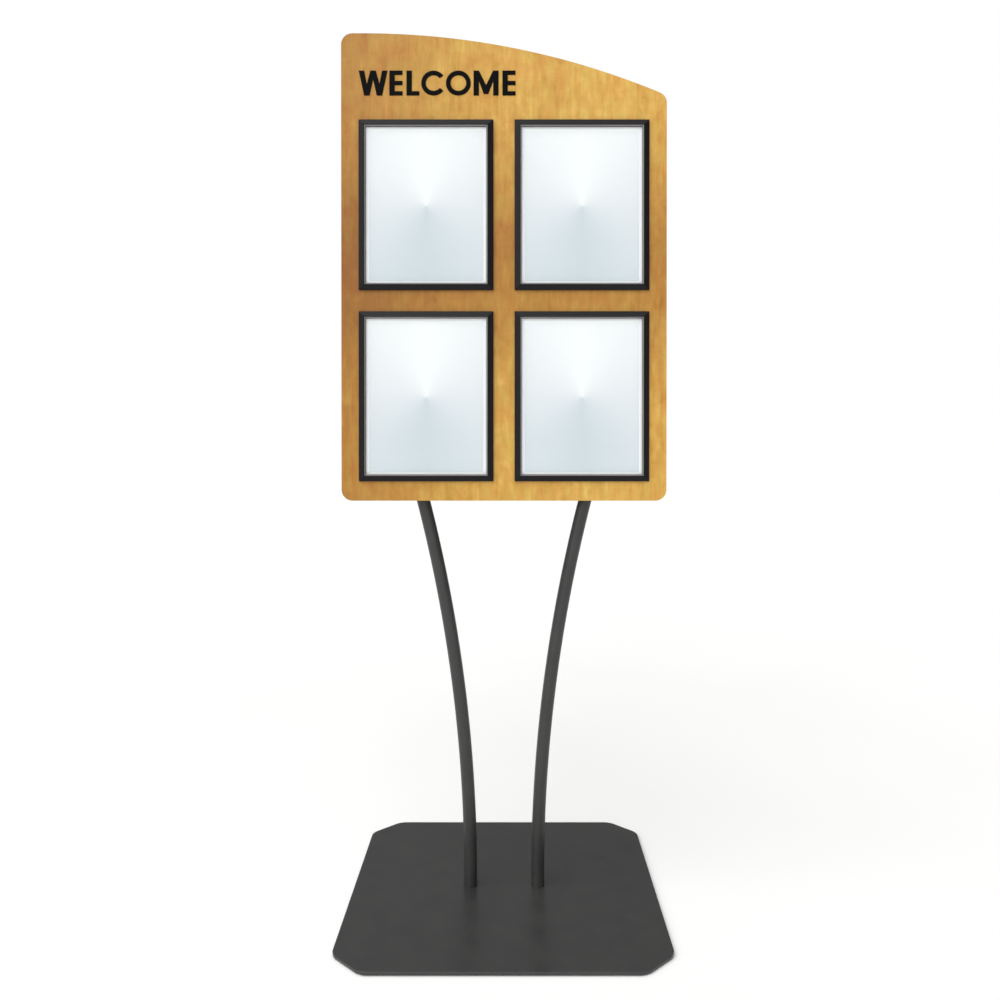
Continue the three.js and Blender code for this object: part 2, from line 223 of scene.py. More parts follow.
def powder_coated_steel():
    # Satin charcoal powder coat on mild steel, sprayed and baked: an even dark grey with a fine
    # orange peel, pale specks of powder and soft patches where the gloss changes.
    material, tree = new_material("powder_coated_mild_steel")
    cloud = add_node(tree, "TexNoise", inputs={
        "Vector": scaled(tree, 45 * MM, 45 * MM), "Scale": 1, "Detail": 3})
    tone = add_node(tree, "ValToRGB", inputs={"Fac": cloud.outputs[0]}, stops=[
        (0.3, "303030"), (0.7, "363635")])
    # Real powder grains are near 0.05 mm; they are drawn at 1.1 mm so that they show.
    grit = add_node(tree, "TexNoise", inputs={
        "Vector": scaled(tree, 1.1 * MM, 1.1 * MM), "Scale": 1, "Detail": 1})
    speck = add_node(tree, "MapRange", inputs={
        "Value": grit.outputs[0], "From Min": 0.66, "From Max": 0.76, "To Max": 0.35})
    colour = add_node(tree, "MixRGB", inputs={
        "Fac": speck.outputs[0], "Color1": tone.outputs[0], "Color2": linear("5c5c5a")})
    gloss = add_node(tree, "MapRange", inputs={
        "Value": cloud.outputs[0], "From Min": 0.3, "From Max": 0.7,
        "To Min": 0.28, "To Max": 0.36})
    peel = add_node(tree, "TexNoise", inputs={
        "Vector": scaled(tree, 2.2 * MM, 2.2 * MM), "Scale": 1, "Detail": 2})
    bump = add_node(tree, "Bump", inputs={
        "Height": peel.outputs[0], "Strength": 0.25, "Distance": 0.08 * MM})
    shader = add_node(tree, "BsdfPrincipled", inputs={
        "Base Color": colour.outputs[0], "Roughness": gloss.outputs[0], "Normal": bump.outputs[0],
        "IOR": 1.45})
    finish_material(tree, shader.outputs[0])
    return material


def zinc_plated_steel():
    # Bright zinc plate on rolled steel: a pale blue-grey metal with a faint cloudy bloom.
    material, tree = new_material("zinc_plated_steel")
    bloom = add_node(tree, "TexNoise", inputs={
        "Vector": scaled(tree, 3 * MM, 3 * MM), "Scale": 1, "Detail": 4})
    colour = add_node(tree, "ValToRGB", inputs={"Fac": bloom.outputs[0]}, stops=[
        (0.35, "9fa4a8"), (0.65, "c3c6c7")])
    gloss = add_node(tree, "MapRange", inputs={
        "Value": bloom.outputs[0], "From Min": 0.3, "From Max": 0.7,
        "To Min": 0.28, "To Max": 0.42})
    shader = add_node(tree, "BsdfPrincipled", inputs={
        "Base Color": colour.outputs[0], "Roughness": gloss.outputs[0], "Metallic": 1})
    finish_material(tree, shader.outputs[0])
    return material


def plain_black(name, dark, light, grain, roughness, depth, ior=1.46):
    # A plain black part: moulded polythene or ABS, pressed rubber, or laser-cut acrylic. An even
    # near-black, broken by a fine grain.
    material, tree = new_material(name)
    texture = add_node(tree, "TexNoise", inputs={
        "Vector": scaled(tree, grain, grain), "Scale": 1, "Detail": 2})
    colour = add_node(tree, "ValToRGB", inputs={"Fac": texture.outputs[0]}, stops=[
        (0.3, dark), (0.7, light)])
    gloss = add_node(tree, "MapRange", inputs={
        "Value": texture.outputs[0], "From Min": 0.3, "From Max": 0.7,
        "To Min": roughness - 0.05, "To Max": roughness + 0.05})
    bump = add_node(tree, "Bump", inputs={
        "Height": texture.outputs[0], "Strength": 0.3, "Distance": depth})
    shader = add_node(tree, "BsdfPrincipled", inputs={
        "Base Color": colour.outputs[0], "Roughness": gloss.outputs[0], "Normal": bump.outputs[0],
        "IOR": ior})
    finish_material(tree, shader.outputs[0])
    return material


def fibreboard():
    # Medium density fibreboard, pressed: a warm mid brown with short pale fibres.
    material, tree = new_material("medium_density_fibreboard")
    fibre = add_node(tree, "TexNoise", inputs={
        "Vector": scaled(tree, 1.5 * MM, 1.5 * MM), "Scale": 1, "Detail": 5})
    colour = add_node(tree, "ValToRGB", inputs={"Fac": fibre.outputs[0]}, stops=[
        (0.3, "86683f"), (0.7, "b08d62")])
    shader = add_node(tree, "BsdfPrincipled", inputs={
        "Base Color": colour.outputs[0], "Roughness": 0.9})
    finish_material(tree, shader.outputs[0])
    return material


def maple_laminate():
    # High-pressure laminate printed as honey maple and pressed with a satin plate: grain that runs
    # upright, soft flame figure crossed by a fine curl, wide boards that differ a little in tone,
    # and small dark flecks.
    material, tree = new_material("honey_maple_laminate")
    place = add_node(tree, "TexCoord").outputs["Object"]
    face = add_node(tree, "NewGeometry").outputs["Normal"]
    facing = add_node(tree, "SeparateXYZ", inputs={"Vector": face}).outputs["Z"]
    level = add_node(tree, "Math", {"operation": "ABSOLUTE"}, {0: facing}).outputs[0]
    on_end = add_node(tree, "Math", {"operation": "GREATER_THAN"}, {0: level, 1: 0.7}).outputs[0]
    # The banding on the top and bottom edges carries its grain along the edge.
    lying = add_node(tree, "Mapping", inputs={
        "Vector": place, "Rotation": (0, QUARTER_TURN, 0)}).outputs[0]
    grain_place = add_node(tree, "MixRGB", inputs={
        "Fac": on_end, "Color1": place, "Color2": lying}).outputs[0]

    def pattern(across, along, detail=2, distortion=0, shift=0):
        size = (1 / across, 1 / across, 1 / along)
        cells = add_node(tree, "Mapping", inputs={
            "Vector": grain_place, "Scale": size, "Location": (shift, shift, shift)}).outputs[0]
        return add_node(tree, "TexNoise", inputs={
            "Vector": cells, "Scale": 1, "Detail": detail, "Distortion": distortion}).outputs[0]

    fibre = pattern(1.3 * MM, 42 * MM, detail=3)
    figure = pattern(9 * MM, 62 * MM, detail=4, distortion=0.8, shift=3.1)
    mottle = pattern(18 * MM, 30 * MM, detail=4, distortion=0.4, shift=7.7)
    curl = pattern(17 * MM, 3.6 * MM, detail=2, distortion=0.5, shift=1.7)
    fleck = pattern(2.4 * MM, 7 * MM, detail=1, shift=5.3)

    parts = add_node(tree, "SeparateXYZ", inputs={"Vector": grain_place}).outputs
    board_width = 62 * MM
    count = add_node(tree, "Math", {"operation": "MULTIPLY"}, {0: parts["X"], 1: 1 / board_width})
    board = add_node(tree, "TexVoronoi", {"voronoi_dimensions": "1D"}, {
        "W": count.outputs[0], "Scale": 1, "Randomness": 0.85})
    board_tone = add_node(tree, "SeparateXYZ", inputs={"Vector": board.outputs["Color"]}).outputs["X"]

    def weighted(terms):
        total = None
        for value, weight in terms:
            inputs = {0: value, 1: weight, 2: total if total is not None else 0.0}
            total = add_node(tree, "Math", {"operation": "MULTIPLY_ADD"}, inputs).outputs[0]
        return total

    light = weighted([
        (fibre, 0.10), (figure, 0.68), (mottle, 0.76), (curl, 0.18), (board_tone, 0.16)])
    tone = add_node(tree, "MapRange", inputs={"Value": light, "From Min": 0.54, "From Max": 1.36})
    wood = add_node(tree, "ValToRGB", inputs={"Fac": tone.outputs[0]}, stops=[
        (0.0, "b6832b"), (1.0, "e3c66e"), (0.32, "c69b43"), (0.62, "d1aa51")])
    # Patches of the heartwood lean to orange.
    patches = pattern(16 * MM, 38 * MM, detail=3, shift=11.9)
    heart = add_node(tree, "MapRange", inputs={
        "Value": patches, "From Min": 0.38, "From Max": 0.62})
    heartwood = add_node(tree, "MixRGB", {"blend_type": "MULTIPLY"}, {
        "Fac": heart.outputs[0], "Color1": wood.outputs[0], "Color2": linear("fff0ec")})

    # Painted shade: the sheet is coloured darker and browner across its middle, out to `reach` above
    # and below, and along its left side, where less light falls.
    reach = 290 * MM
    spots = add_node(tree, "SeparateXYZ", inputs={"Vector": place}).outputs
    middle = (panel_low.z + panel_high.z) / 2
    offset = add_node(tree, "Math", {"operation": "SUBTRACT"}, {0: spots["Z"], 1: middle}).outputs[0]
    height = add_node(tree, "Math", {"operation": "ABSOLUTE"}, {0: offset}).outputs[0]
    # Mask of the painted shade by height: 0 across the middle, 1 from `reach` outwards.
    ends = add_node(tree, "MapRange", {"interpolation_type": "SMOOTHSTEP"}, {
        "Value": height, "From Max": reach}).outputs[0]
    painted_shade_side = add_node(tree, "MapRange", inputs={
        "Value": spots["X"], "From Min": panel_low.x, "From Max": panel_high.x}).outputs[0]
    toned = heartwood.outputs[0]
    for part, stops in (
            (ends, [(0.0, "d7c5ab"), (1.0, "ffffff")]),
            (painted_shade_side, [(0.0, "cfb996"), (1.0, "ffffff"), (0.36, "f5f1e6")])):
        painted_shade_tint = add_node(tree, "ValToRGB", inputs={"Fac": part}, stops=stops)
        toned = add_node(tree, "MixRGB", {"blend_type": "MULTIPLY"}, {
            "Fac": 1, "Color1": toned, "Color2": painted_shade_tint.outputs[0]}).outputs[0]
    speck = add_node(tree, "MapRange", inputs={
        "Value": fleck, "From Min": 0.70, "From Max": 0.80, "To Max": 0.30}).outputs[0]
    colour = add_node(tree, "MixRGB", inputs={
        "Fac": speck, "Color1": toned, "Color2": linear("8a5f30")}).outputs[0]

    gloss = add_node(tree, "MapRange", inputs={
        "Value": fibre, "From Min": 0.3, "From Max": 0.7, "To Min": 0.40, "To Max": 0.52}).outputs[0]
    bump = add_node(tree, "Bump", inputs={
        "Height": fibre, "Strength": 0.25, "Distance": 0.05 * MM}).outputs[0]
    shader = add_node(tree, "BsdfPrincipled", inputs={
        "Base Color": colour, "Roughness": gloss, "Normal": bump, "IOR": 1.45})
    finish_material(tree, shader.outputs[0])
    return material


def rail_aluminium(name, dark, light, roughness, lengthwise):
    # Extruded aluminium, etched and anodised black: near-black with a satin sheen and faint
    # die lines along the rail. Given pale grey colours, it paints the inner bevel as a painted
    # highlight.
    material, tree = new_material(name)
    place = add_node(tree, "TexCoord").outputs["Object"]
    line, run = 1 / (0.5 * MM), 1 / (90 * MM)
    size = (line, line, run) if lengthwise == "Z" else (run, line, line)
    lines = add_node(tree, "TexNoise", inputs={
        "Vector": add_node(tree, "Mapping", inputs={"Vector": place, "Scale": size}).outputs[0],
        "Scale": 1, "Detail": 2}).outputs[0]
    colour = add_node(tree, "ValToRGB", inputs={"Fac": lines}, stops=[(0.3, dark), (0.7, light)])
    gloss = add_node(tree, "MapRange", inputs={
        "Value": lines, "From Min": 0.3, "From Max": 0.7,
        "To Min": roughness - 0.04, "To Max": roughness + 0.04})
    bump = add_node(tree, "Bump", inputs={"Height": lines, "Strength": 0.15, "Distance": 0.03 * MM})
    shader = add_node(tree, "BsdfPrincipled", inputs={
        "Base Color": colour.outputs[0], "Roughness": gloss.outputs[0], "Normal": bump.outputs[0],
        "IOR": 1.28})
    finish_material(tree, shader.outputs[0])
    return material


def printed_card(name, centre, half_width, half_height):
    # Coated card, digitally printed: a cool grey sweep that is white straight up from the middle
    # and darkens evenly round to straight down, inside a plain white margin. It sits a little low.
    material, tree = new_material(name)
    place = add_node(tree, "TexCoord").outputs["Object"]
    shift = (-centre.x, 0, PRINT_DROP - centre.z)
    here = add_node(tree, "Mapping", inputs={"Vector": place, "Location": shift}).outputs[0]
    parts = add_node(tree, "SeparateXYZ", inputs={"Vector": here}).outputs
    side = add_node(tree, "Math", {"operation": "ABSOLUTE"}, {0: parts["X"]}).outputs[0]
    rise = add_node(tree, "Math", {"operation": "ABSOLUTE"}, {0: parts["Z"]}).outputs[0]
    angle = add_node(tree, "Math", {"operation": "ARCTAN2"}, {0: side, 1: parts["Z"]}).outputs[0]
    turn = add_node(tree, "Math", {"operation": "DIVIDE"}, {0: angle, 1: math.pi}).outputs[0]
    # The tooth of the card's coating is near 0.1 mm; it is drawn at 0.6 mm so that it shows.
    tooth = add_node(tree, "TexNoise", inputs={
        "Vector": scaled(tree, 0.6 * MM, 0.6 * MM), "Scale": 1, "Detail": 2}).outputs[0]
    sweep = add_node(tree, "ValToRGB", inputs={"Fac": turn}, stops=[
        (0.0, "f3f3f3"), (1.0, "cad3d8"), (0.25, "eaecee"), (0.5, "e0e3e6"), (0.75, "d5dbdf")])
    past_side = add_node(tree, "Math", {"operation": "GREATER_THAN"}, {
        0: side, 1: half_width - CARD_MARGIN}).outputs[0]
    past_end = add_node(tree, "Math", {"operation": "GREATER_THAN"}, {
        0: rise, 1: half_height - CARD_MARGIN}).outputs[0]
    margin = add_node(tree, "Math", {"operation": "MAXIMUM"}, {0: past_side, 1: past_end}).outputs[0]
    colour = add_node(tree, "MixRGB", inputs={
        "Fac": margin, "Color1": sweep.outputs[0], "Color2": linear("f4f4f4")}).outputs[0]
    bump = add_node(tree, "Bump", inputs={
        "Height": tooth, "Strength": 0.1, "Distance": 0.02 * MM}).outputs[0]
    shader = add_node(tree, "BsdfPrincipled", inputs={
        "Base Color": colour, "Roughness": 0.55, "Normal": bump, "IOR": 1.3})
    finish_material(tree, shader.outputs[0])
    return material


def clear_acrylic():
    # Cast acrylic, polished: clear, with a faint reflection that grows towards a glancing view
    # and slight waviness from the casting.
    material, tree = new_material("cast_clear_acrylic")
    wave = add_node(tree, "TexNoise", inputs={
        "Vector": scaled(tree, 60 * MM, 60 * MM), "Scale": 1, "Detail": 1}).outputs[0]
    bump = add_node(tree, "Bump", inputs={
        "Height": wave, "Strength": 0.1, "Distance": 0.2 * MM}).outputs[0]
    clear = add_node(tree, "BsdfTransparent", inputs={"Color": linear("fdfefe")})
    gloss = add_node(tree, "BsdfGlossy", inputs={
        "Color": linear("ffffff"), "Roughness": 0.06, "Normal": bump})
    glance = add_node(tree, "LayerWeight", inputs={"Blend": 0.5, "Normal": bump}).outputs["Facing"]
    rise = add_node(tree, "Math", {"operation": "POWER"}, {0: glance, 1: 5}).outputs[0]
    edge = add_node(tree, "MapRange", inputs={"Value": rise, "To Min": 0.02}).outputs[0]
    surface = add_node(tree, "MixShader", inputs={
        "Fac": edge, 1: clear.outputs[0], 2: gloss.outputs[0]})
    finish_material(tree, surface.outputs[0])
    return material


STEEL = powder_coated_steel()
ZINC = zinc_plated_steel()
RUBBER = plain_black("pressed_rubber", "141414", "1e1e1e", 1.2 * MM, 0.85, 0.1 * MM)
CAP_PLASTIC = plain_black("moulded_polythene", "141415", "1c1c1d", 0.9 * MM, 0.55, 0.05 * MM)
TRAY_PLASTIC = plain_black("moulded_abs", "161617", "1e1e1f", 0.8 * MM, 0.5, 0.05 * MM)
LETTER_BLACK = plain_black(
    "laser_cut_black_acrylic", "040404", "080808", 8 * MM, 0.5, 0.02 * MM, ior=1.15)
BOARD = fibreboard()
MAPLE = maple_laminate()
RAIL_ACROSS = rail_aluminium("black_anodised_rail_across", "100e0f", "181517", 0.40, "X")
RAIL_UPRIGHT = rail_aluminium("black_anodised_rail_upright", "100e0f", "181517", 0.40, "Z")
# Painted highlight: the inner bevels get pale grey colours that stand for light caught on the black
# rails.
BEVEL_HIGHLIGHT_ACROSS = rail_aluminium("painted_highlight_bevel_across", "6f6c6d", "868384", 0.35, "X")
BEVEL_HIGHLIGHT_UPRIGHT = rail_aluminium("painted_highlight_bevel_upright", "6f6c6d", "868384", 0.35, "Z")
ACRYLIC = clear_acrylic()


# ---- Shape helpers ----


def spin_about(bm, geom, centre, axis, angle, steps, full=False):
    return bmesh.ops.spin(
        bm, geom=geom, cent=centre, axis=axis, dvec=(0, 0, 0), angle=angle, steps=steps,
        use_merge=full, use_normal_flip=False, use_duplicate=False)["geom_last"]


def trace(bm, stops):
    """A closed outline in the XY plane through points (x, y) and arcs (centre, radius, start, end,
    steps), joined by straight edges. Returns its edges."""
    before = set(bm.edges)
    ends = []
    for stop in stops:
        if len(stop) == 2:
            first = last = bm.verts.new((*stop, 0))
        else:
            (x, y), radius, start, end, steps = stop
            first = bm.verts.new((x + radius * math.cos(start), y + radius * math.sin(start), 0))
            last = spin_about(bm, [first], (x, y, 0), (0, 0, 1), end - start, steps)[0]
        ends.append((first, last))
    for (_, last), (first, _) in zip(ends, ends[1:] + ends[:1]):
        bm.edges.new((last, first))
    return [edge for edge in bm.edges if edge not in before]


def fill(bm, edges):
    bmesh.ops.contextual_create(bm, geom=edges)


def thicken(bm, depth):
    """Extrudes the faces drawn in the XY plane along +Z into closed solids."""
    grown = bmesh.ops.extrude_face_region(bm, geom=bm.faces[:])["geom"]
    moved = [part for part in grown if isinstance(part, bmesh.types.BMVert)]
    bmesh.ops.translate(bm, vec=(0, 0, depth), verts=moved)
    bmesh.ops.recalc_face_normals(bm, faces=bm.faces)


def soften(bm, width, segments=2, angle=30):
    """Rounds every edge that turns by more than `angle` degrees."""
    limit = math.radians(angle)
    sharp = [e for e in bm.edges if e.is_manifold and e.calc_face_angle() > limit]
    bmesh.ops.bevel(
        bm, geom=sharp, offset=width, offset_type="OFFSET", affect="EDGES", segments=segments,
        profile=0.5, material=-1, clamp_overlap=True)


def rounded_rectangle(low, high, radius, steps=6):
    """Four corner arcs between two opposite corners (x, y)."""
    left, right = low[0] + radius, high[0] - radius
    bottom, top = low[1] + radius, high[1] - radius
    corners = [(right, bottom), (right, top), (left, top), (left, bottom)]
    return [
        (corner, radius, (i - 1) * QUARTER_TURN, i * QUARTER_TURN, steps)
        for i, corner in enumerate(corners)
    ]


def spun(bm, points, steps=48):
    """Turns a profile of (radius, height) points once round the Z axis."""
    verts = [bm.verts.new((radius, 0, height)) for radius, height in points]
    edges = [bm.edges.new(pair) for pair in zip(verts, verts[1:])]
    others = set(bm.verts) - set(verts)
    spin_about(bm, verts + edges, (0, 0, 0), (0, 0, 1), FULL_TURN, steps, full=True)
    made = [v for v in bm.verts if v not in others]
    bmesh.ops.remove_doubles(bm, verts=made, dist=WELD)


def open_face(bm, face, loops):
    """Replaces a flat face by one with the loops of edges left open in it."""
    rim = list(face.edges)
    bmesh.ops.delete(bm, geom=[face], context="FACES_ONLY")
    bmesh.ops.triangle_fill(bm, edges=rim + loops, use_beauty=True)


def finish_piece(node, bm, materials):
    """Makes a finished bmesh the piece that stands for a CAD node, on that node's body."""
    bmesh.ops.remove_doubles(bm, verts=bm.verts, dist=WELD)
    bmesh.ops.recalc_face_normals(bm, faces=bm.faces)
    for face in bm.faces:
        face.smooth = True
    for edge in bm.edges:
        edge.smooth = not (edge.is_manifold and edge.calc_face_angle() > CREASE)
    mesh = bpy.data.meshes.new(node + "_piece")
    bm.to_mesh(mesh)
    bm.free()
    for material in materials:
        mesh.materials.append(material)
    piece = bpy.data.objects.new(node + "_piece", mesh)
    bpy.context.scene.collection.objects.link(piece)
    weights = piece.modifiers.new("face_weights", "WEIGHTED_NORMAL")
    weights.keep_sharp = True
    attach(piece, nodes[node]["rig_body"])
    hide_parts(node)


def refined(node, edge, materials):
    """A copy of a CAD node whose shape is right, merged and with its arrises eased."""
    bm = bmesh.new()
    bm.from_mesh(nodes[node].data)
    bmesh.ops.remove_doubles(bm, verts=bm.verts, dist=WELD)
    bmesh.ops.dissolve_limit(
        bm, angle_limit=math.radians(1), use_dissolve_boundaries=False, verts=bm.verts,
        edges=bm.edges)
    soften(bm, edge)
    finish_piece(node, bm, materials)


def repaint(node, material):
    """Gives a CAD node that stays its finished material."""
    nodes[node].data.materials.clear()
    nodes[node].data.materials.append(material)


def middle_of(node):
    low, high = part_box(node)
    return (low + high) / 2


# ---- Base plate and pads ----


def add_base_plate():
    bm = bmesh.new()
    x, y = base_high.x, base_high.y
    clip = BASE_CLIP
    corners = [
        (x, clip - y), (x, y - clip), (x - clip, y), (clip - x, y),
        (-x, y - clip), (-x, clip - y), (clip - x, -y), (x - clip, -y),
    ]
    trace(bm, corners)
    # Each corner turns by an eighth of a turn, so its arc starts this far along the side.
    cut = BASE_CORNER * math.tan(FULL_TURN / 16)
    bmesh.ops.bevel(
        bm, geom=bm.verts[:], offset=cut, offset_type="OFFSET",
        affect="VERTICES", segments=12, profile=0.5, material=-1)
    fill(bm, bm.edges[:])
    thicken(bm, base_high.z - base_low.z)
    bmesh.ops.translate(bm, vec=(0, 0, base_low.z), verts=bm.verts)
    soften(bm, BASE_EDGE, segments=3, angle=60)
    drill_base_plate(bm)
    finish_piece("base_plate", bm, [STEEL])


def drill_base_plate(bm):
    """Opens the two countersunk holes for the foot bolts."""
    hole_wall = [
        (HOLE_MOUTH, 0), (HOLE_MOUTH, HEAD_RIM), (HOLE_BORE, HEAD_DEPTH),
        (HOLE_BORE, base_high.z - base_low.z),
    ]
    top, bottom = sorted(bm.faces, key=lambda face: face.calc_area())[-2:]
    if top.calc_center_median().z < bottom.calc_center_median().z:
        top, bottom = bottom, top
    before = set(bm.verts)
    for side in (-1, 1):
        made = set(bm.verts)
        spun(bm, [(radius, base_low.z + z) for radius, z in hole_wall])
        hole = [v for v in bm.verts if v not in made]
        bmesh.ops.translate(bm, vec=(side * foot_x, 0, 0), verts=hole)
    rims = [e for e in bm.edges if e.is_boundary and e.verts[0] not in before]
    half = (base_low.z + base_high.z) / 2
    open_face(bm, top, [e for e in rims if e.verts[0].co.z > half])
    open_face(bm, bottom, [e for e in rims if e.verts[0].co.z < half])


def add_pads():
    for place in ("front_left", "front_right", "back_left", "back_right"):
        node = "pad_" + place
        low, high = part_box(node)
        centre = middle_of(node)
        radius, height = (high.x - low.x) / 2, high.z - low.z
        bm = bmesh.new()
        spun(bm, [(0, 0), (radius, 0), (radius, height), (0, height)])
        soften(bm, PAD_EDGE, segments=3)
        bmesh.ops.translate(bm, vec=(centre.x, centre.y, low.z), verts=bm.verts)
        finish_piece(node, bm, [RUBBER])


# ---- Bolts ----


def bolt(points, socket_radius, socket_depth):
    """A screw from its head at z = 0 to its tip, with a hexagon socket in the head. The profile
    starts at the rim of the head's flat."""
    bm = bmesh.new()
    spun(bm, points)
    rim = [e for e in bm.edges if e.is_boundary]
    hexagon = bmesh.ops.create_circle(bm, cap_ends=False, radius=socket_radius, segments=6)["verts"]
    sides = list({edge for vert in hexagon for edge in vert.link_edges})
    bmesh.ops.triangle_fill(bm, edges=rim + sides, use_beauty=True)
    sunk = bmesh.ops.extrude_edge_only(bm, edges=sides)["geom"]
    floor_verts = [part for part in sunk if isinstance(part, bmesh.types.BMVert)]
    bmesh.ops.translate(bm, vec=(0, 0, socket_depth), verts=floor_verts)
    fill(bm, [part for part in sunk if isinstance(part, bmesh.types.BMEdge)])
    bmesh.ops.recalc_face_normals(bm, faces=bm.faces)
    return bm


def add_foot_bolt(node):
    low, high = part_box(node)
    radius = (high.x - low.x) / 2
    shank = radius / 2
    tip = high.z - low.z
    ease, chamfer = 0.1 * MM, 1 * MM
    bm = bolt([
        (0.95 * radius, 0), (radius, ease), (radius, HEAD_RIM), (shank, HEAD_DEPTH),
        (shank, tip - chamfer), (shank - chamfer, tip), (0, tip),
    ], socket_radius=2.9 * MM, socket_depth=2.4 * MM)
    bmesh.ops.translate(bm, vec=(middle_of(node).x, 0, low.z), verts=bm.verts)
    finish_piece(node, bm, [ZINC])


def add_panel_bolt(node):
    low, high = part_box(node)
    radius = (high.x - low.x) / 2
    tip = high.y - low.y
    head, rim, shank, chamfer = 3.3 * MM, 0.3 * MM, 3 * MM, 0.8 * MM
    # The button head is an arc of an ellipse from its flat to its straight rim.
    dome = [math.radians(angle) for angle in range(60, -1, -10)]
    rise = head - rim
    crown = [(radius * math.cos(a), rise - rise * math.sin(a) / math.sin(dome[0])) for a in dome]
    bm = bolt(crown + [
        (radius, head), (shank, head), (shank, tip - chamfer), (shank - chamfer, tip), (0, tip),
    ], socket_radius=2.3 * MM, socket_depth=1.9 * MM)
    centre = middle_of(node)
    place = Matrix.Translation((centre.x, high.y, centre.z)) @ STAND_UP
    bmesh.ops.transform(bm, matrix=place, verts=bm.verts)
    finish_piece(node, bm, [ZINC])


# ---- Poles ----


def add_pole(name, side):
    """A tube that stands upright at its foot, bends outwards and runs straight to its top."""
    bm = bmesh.new()
    foot = Matrix.Translation((side * foot_x, 0, base_top))
    for radius in (POLE_RADIUS, POLE_RADIUS - POLE_WALL):
        bmesh.ops.create_circle(bm, cap_ends=False, radius=radius, segments=72, matrix=foot)
    ring = bm.edges[:]

    def lengthen(edges, step):
        grown = bmesh.ops.extrude_edge_only(bm, edges=edges)["geom"]
        moved = [part for part in grown if isinstance(part, bmesh.types.BMVert)]
        bmesh.ops.translate(bm, vec=step, verts=moved)
        return [part for part in grown if isinstance(part, bmesh.types.BMEdge)]

    ring = lengthen(ring, (0, 0, FOOT_STRAIGHT))
    corners = list({vert for edge in ring for vert in edge.verts})
    centre = (side * (foot_x + BEND_RADIUS), 0, base_top + FOOT_STRAIGHT)
    last = spin_about(bm, corners + ring, centre, (0, 1, 0), side * lean, 96)
    ring = [part for part in last if isinstance(part, bmesh.types.BMEdge)]
    rise = POLE_TOP - BEND_TOP
    lengthen(ring, (side * rise * math.tan(lean), 0, rise))
    for at_foot in (True, False):
        open_edges = [edge for edge in bm.edges if edge.is_boundary]
        end = [edge for edge in open_edges if (edge.verts[0].co.z < base_top + MM) == at_foot]
        bmesh.ops.bridge_loops(bm, edges=end)
    finish_piece("pole_" + name, bm, [STEEL])


def add_foot_plug(node):
    low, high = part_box(node)
    outer, inner, height = (high.x - low.x) / 2, HOLE_BORE, high.z - low.z
    bm = bmesh.new()
    spun(bm, [(inner, 0), (outer, 0), (outer, height), (inner, height), (inner, 0)])
    soften(bm, PLUG_EDGE)
    bmesh.ops.translate(bm, vec=(middle_of(node).x, 0, low.z), verts=bm.verts)
    finish_piece(node, bm, [ZINC])


def add_pole_cap(name, side):
    stem = POLE_RADIUS - POLE_WALL - CAP_SLACK
    bm = bmesh.new()
    spun(bm, [
        (0, -CAP_STEM), (stem, -CAP_STEM), (stem, 0), (POLE_RADIUS, 0), (POLE_RADIUS, CAP_FLANGE),
        (0, CAP_FLANGE),
    ])
    soften(bm, CAP_EDGE, segments=4)
    spread = BEND_RADIUS * (1 - math.cos(lean)) + (POLE_TOP - BEND_TOP) * math.tan(lean)
    top = Matrix.Translation((side * (foot_x + spread), 0, POLE_TOP))
    place = top @ Matrix.Rotation(side * lean, 4, "Y") @ Matrix.Translation((0, 0, CAP_SLACK))
    bmesh.ops.transform(bm, matrix=place, verts=bm.verts)
    finish_piece("pole_cap_" + name, bm, [CAP_PLASTIC])


# ---- Panel ----


def panel_outline(inset):
    """The panel's outline drawn `inset` inside its edge: level at the left, then falling away to
    the right along one large arc."""
    width, height = panel_high.x - panel_low.x, panel_high.z - panel_low.z
    corner = PANEL_CORNER
    left, right = corner - width / 2, width / 2 - corner
    arch = (ARCH_START - width / 2, height - ARCH_RADIUS)
    corner_y = arch[1] + math.sqrt((ARCH_RADIUS - corner) ** 2 - (right - arch[0]) ** 2)
    tangent = math.atan2(corner_y - arch[1], right - arch[0])
    small = corner - inset
    return [
        ((left, corner), small, math.pi, 3 * QUARTER_TURN, 16),
        ((right, corner), small, -QUARTER_TURN, 0, 16),
        ((right, corner_y), small, 0, tangent, 14),
        (arch, ARCH_RADIUS - inset, tangent, QUARTER_TURN, 72),
        ((left, height - corner), small, QUARTER_TURN, math.pi, 16),
    ]


def stand_panel(bm, back):
    """Stands a layer drawn in XY up in place, its back at y = back."""
    place = Matrix.Translation((0, back, panel_low.z)) @ STAND_UP
    bmesh.ops.transform(bm, matrix=place, verts=bm.verts)


def add_front_skin():
    low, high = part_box("panel_front_skin")
    bm = bmesh.new()
    fill(bm, trace(bm, panel_outline(0)))
    thicken(bm, high.y - low.y)
    soften(bm, SKIN_EDGE)
    stand_panel(bm, high.y)
    finish_piece("panel_front_skin", bm, [MAPLE])


def add_edge_band():
    low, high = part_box("panel_edge_band")
    bm = bmesh.new()
    rings = trace(bm, panel_outline(0)) + trace(bm, panel_outline(EDGE_BAND))
    bmesh.ops.bridge_loops(bm, edges=rings)
    thicken(bm, high.y - low.y)
    stand_panel(bm, high.y)
    finish_piece("panel_edge_band", bm, [MAPLE])


def add_back_skin():
    low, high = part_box("panel_back_skin")
    bm = bmesh.new()
    outside = trace(bm, panel_outline(0))
    holes = []
    for bar in ("lower", "upper"):
        for end in ("left", "right"):
            centre = middle_of(f"panel_bolt_{bar}_{end}")
            place = Matrix.Translation((centre.x, centre.z - panel_low.z, 0))
            ring = bmesh.ops.create_circle(
                bm, cap_ends=False, radius=BOLT_HOLE, segments=32, matrix=place)
            holes += {edge for vert in ring["verts"] for edge in vert.link_edges}
    bmesh.ops.triangle_fill(bm, edges=outside + holes, use_beauty=True)
    thicken(bm, high.y - low.y)
    stand_panel(bm, high.y)
    finish_piece("panel_back_skin", bm, [MAPLE])


# ---- Literature frames ----


